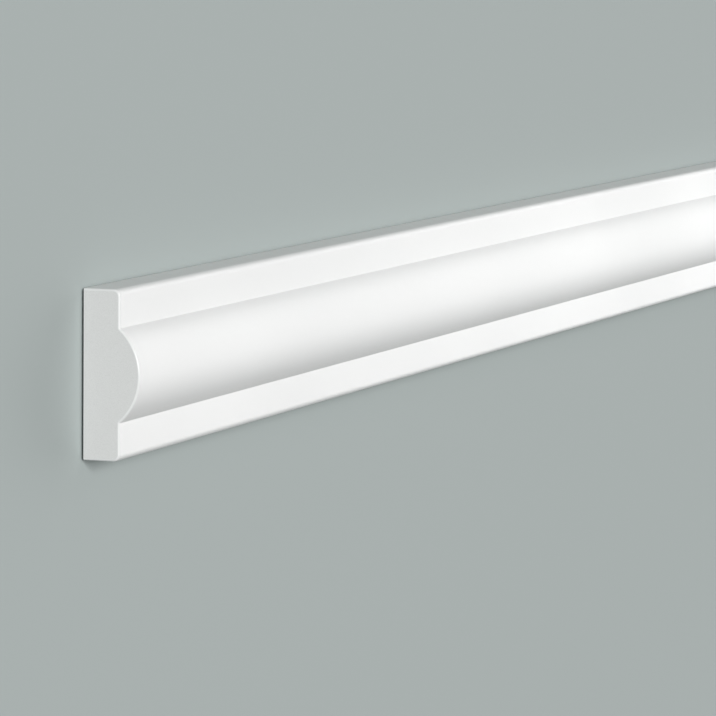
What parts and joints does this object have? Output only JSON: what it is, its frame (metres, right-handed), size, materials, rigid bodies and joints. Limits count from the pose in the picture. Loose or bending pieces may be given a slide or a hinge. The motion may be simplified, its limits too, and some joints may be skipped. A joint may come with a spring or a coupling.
{
  "type": "polystyrene moulding",
  "caption": "Straight white moulding strip with a rounded bead between flat bands and a flat back, glued up as panel trim or a rail.",
  "frame": {"origin": "middle of the flat back face", "axes": "+X along the strip's length, +Y across its face towards the edge that is upper when it is fixed level, +Z out of its back towards the bead"},
  "size_m": [2, 0.04, 0.014],
  "materials": {
    "polystyrene": "smooth satin white extruded skin"
  },
  "bodies": {
    "root": {"moulding": "polystyrene"}
  },
  "joints": []
}
